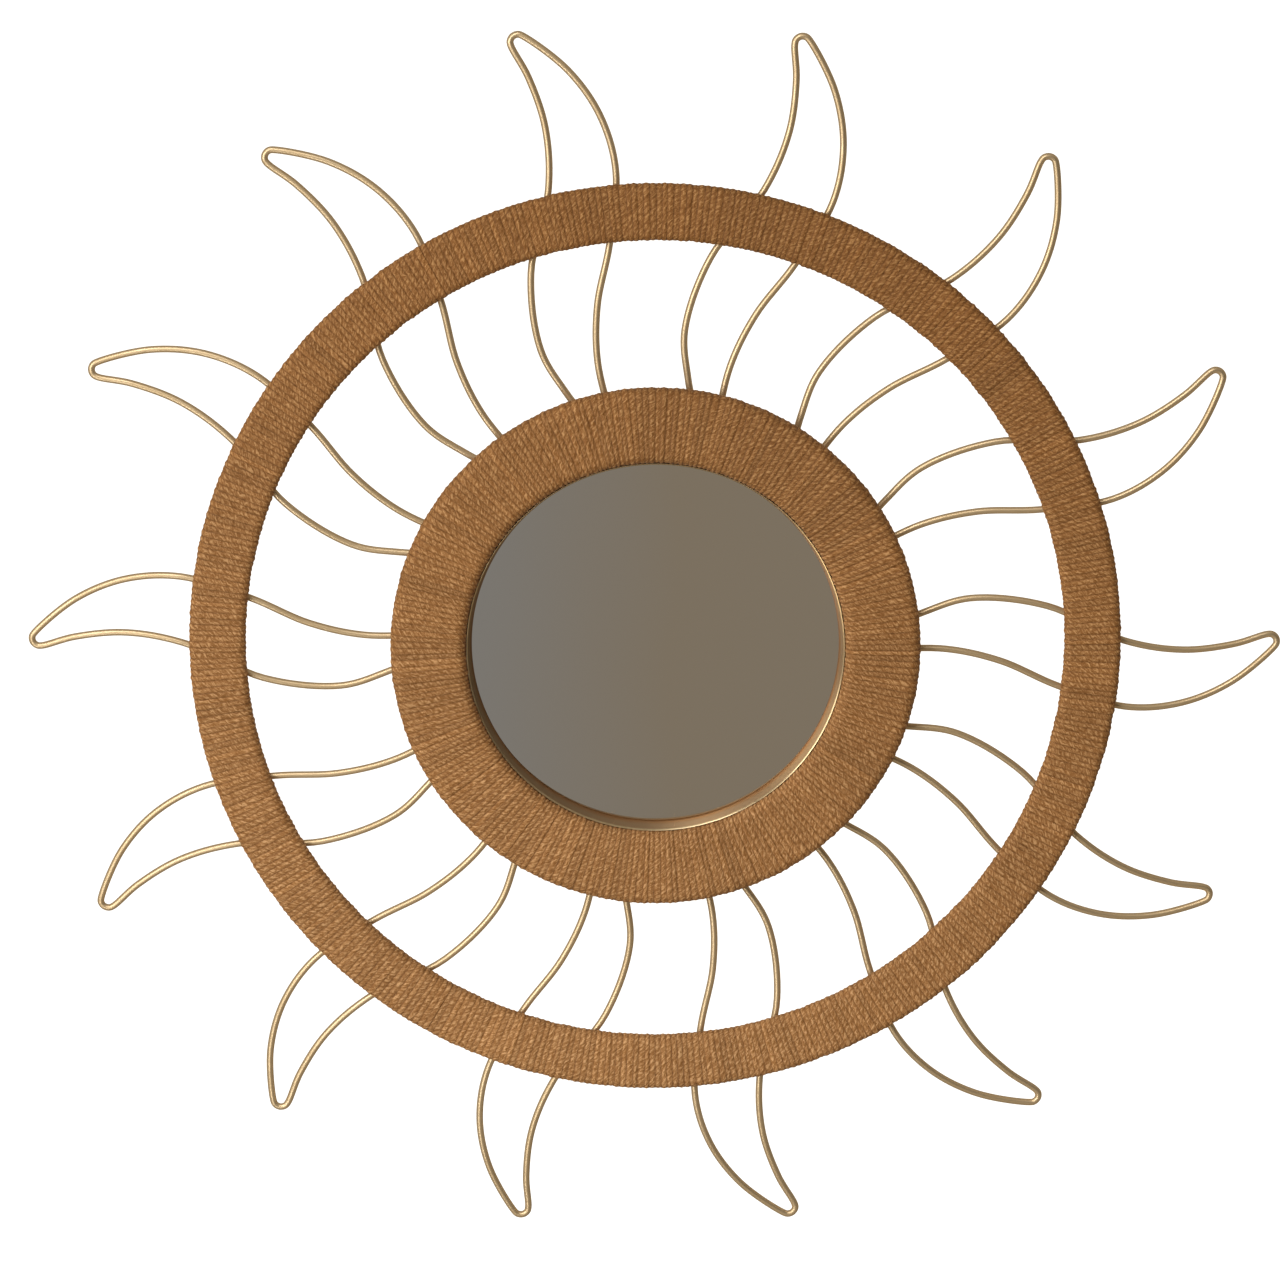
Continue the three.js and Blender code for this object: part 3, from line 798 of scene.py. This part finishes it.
# The screen glows by its own emission and shows only in reflections: a painted reflection of a room in
# front, greyer at the left and browner at the right
screen_finish, screen_tree, screen_shader = new_finish(
    "glowing_brown_grey_screen", Base_Color=(0, 0, 0, 1), Roughness=1.0, Specular_IOR_Level=0.0,
    Emission_Strength=1.0)
screen_split = screen_tree.nodes.new("ShaderNodeSeparateXYZ")
feed(screen_tree, screen_split.inputs[0], on_piece(screen_tree))
leftward = maths(screen_tree, "MULTIPLY_ADD", screen_split.outputs[0], *SCREEN_LEFTWARD)
cloud = noise(screen_tree, on_piece(screen_tree, (1, 1, 0.5)), 3.5, 2)
screen_share = maths(screen_tree, "ADD", leftward, between(screen_tree, cloud, -0.5, 0.5))
feed(screen_tree, screen_shader.inputs["Emission Color"],
     colour_mix(screen_tree, between(screen_tree, screen_share, 0.0, 1.0), SCREEN_BROWN, SCREEN_BLUE))
screen = flat_stage("screen", [
    (-SCREEN_HALF, SCREEN_Y, SCREEN_BOTTOM), (-SCREEN_HALF, SCREEN_Y, SCREEN_TOP),
    (SCREEN_HALF, SCREEN_Y, SCREEN_TOP), (SCREEN_HALF, SCREEN_Y, SCREEN_BOTTOM)], screen_finish)
screen.visible_camera = False
screen.visible_diffuse = False
screen.visible_shadow = False

soft_lamp("key_lamp", **KEY_LAMP)
soft_lamp("low_lamp", **LOW_LAMP)
soft_lamp("fill_lamp", **FILL_LAMP)

glow_finish, _, _ = new_finish(
    "pale_wall", Base_Color=(0, 0, 0, 1), Roughness=1.0, Specular_IOR_Level=0.0,
    Emission_Color=GLOW_WHITE, Emission_Strength=GLOW_STRENGTH)
glow = flat_stage("pale_wall", [
    (-GLOW_HALF, GLOW_Y, -GLOW_HALF), (GLOW_HALF, GLOW_Y, -GLOW_HALF),
    (GLOW_HALF, GLOW_Y, GLOW_HALF), (-GLOW_HALF, GLOW_Y, GLOW_HALF)], glow_finish)
glow.visible_camera = False
glow.visible_glossy = False
glow.visible_shadow = False

flag_finish, _, _ = new_finish(
    "black_flag", Base_Color=FLAG_BLACK, Roughness=1.0, Specular_IOR_Level=0.0)
flag = flat_stage("flag", [
    (FLAG_LEFT, FLAG_Y, FLAG_BOTTOM), (FLAG_LEFT, FLAG_Y, FLAG_TOP),
    (FLAG_RIGHT, FLAG_Y, FLAG_TOP), (FLAG_RIGHT, FLAG_Y, FLAG_BOTTOM)], flag_finish)
flag.visible_camera = False
flag.visible_diffuse = False
flag.visible_shadow = False

room = bpy.data.worlds.new("dim_room")
room.use_nodes = True
room.node_tree.nodes["Background"].inputs["Color"].default_value = ROOM_WARM
room.node_tree.nodes["Background"].inputs["Strength"].default_value = ROOM_STRENGTH
bpy.context.scene.world = room
bpy.context.scene.view_settings.view_transform = "Standard"

# The viewpoint
# The photograph's: almost square on, from a little above, with a long lens. It comes from a perspective fit
# of the two rings and the ray tips.
VIEW_AZIMUTH = np.radians(-0.61)
VIEW_ELEVATION = np.radians(13.89)
VIEW_DISTANCE = 2919.4 * MM
VIEW_TARGET = Vector((-7.75 * MM, -13 * MM, 2.08 * MM))
VIEW_LENS = 163.59
VIEW_SENSOR = 36.0
VIEW_END = 100
level = np.cos(VIEW_ELEVATION)
away = Vector((np.sin(VIEW_AZIMUTH) * level, -np.cos(VIEW_AZIMUTH) * level, np.sin(VIEW_ELEVATION)))
viewpoint = bpy.data.objects.new("viewpoint", bpy.data.cameras.new("viewpoint"))
viewpoint.data.lens = VIEW_LENS
viewpoint.data.sensor_width = VIEW_SENSOR
viewpoint.data.clip_end = VIEW_END
viewpoint.location = VIEW_TARGET + away * VIEW_DISTANCE
viewpoint.rotation_euler = (-away).to_track_quat("-Z", "Y").to_euler()
bpy.context.scene.collection.objects.link(viewpoint)
bpy.context.scene.camera = viewpoint
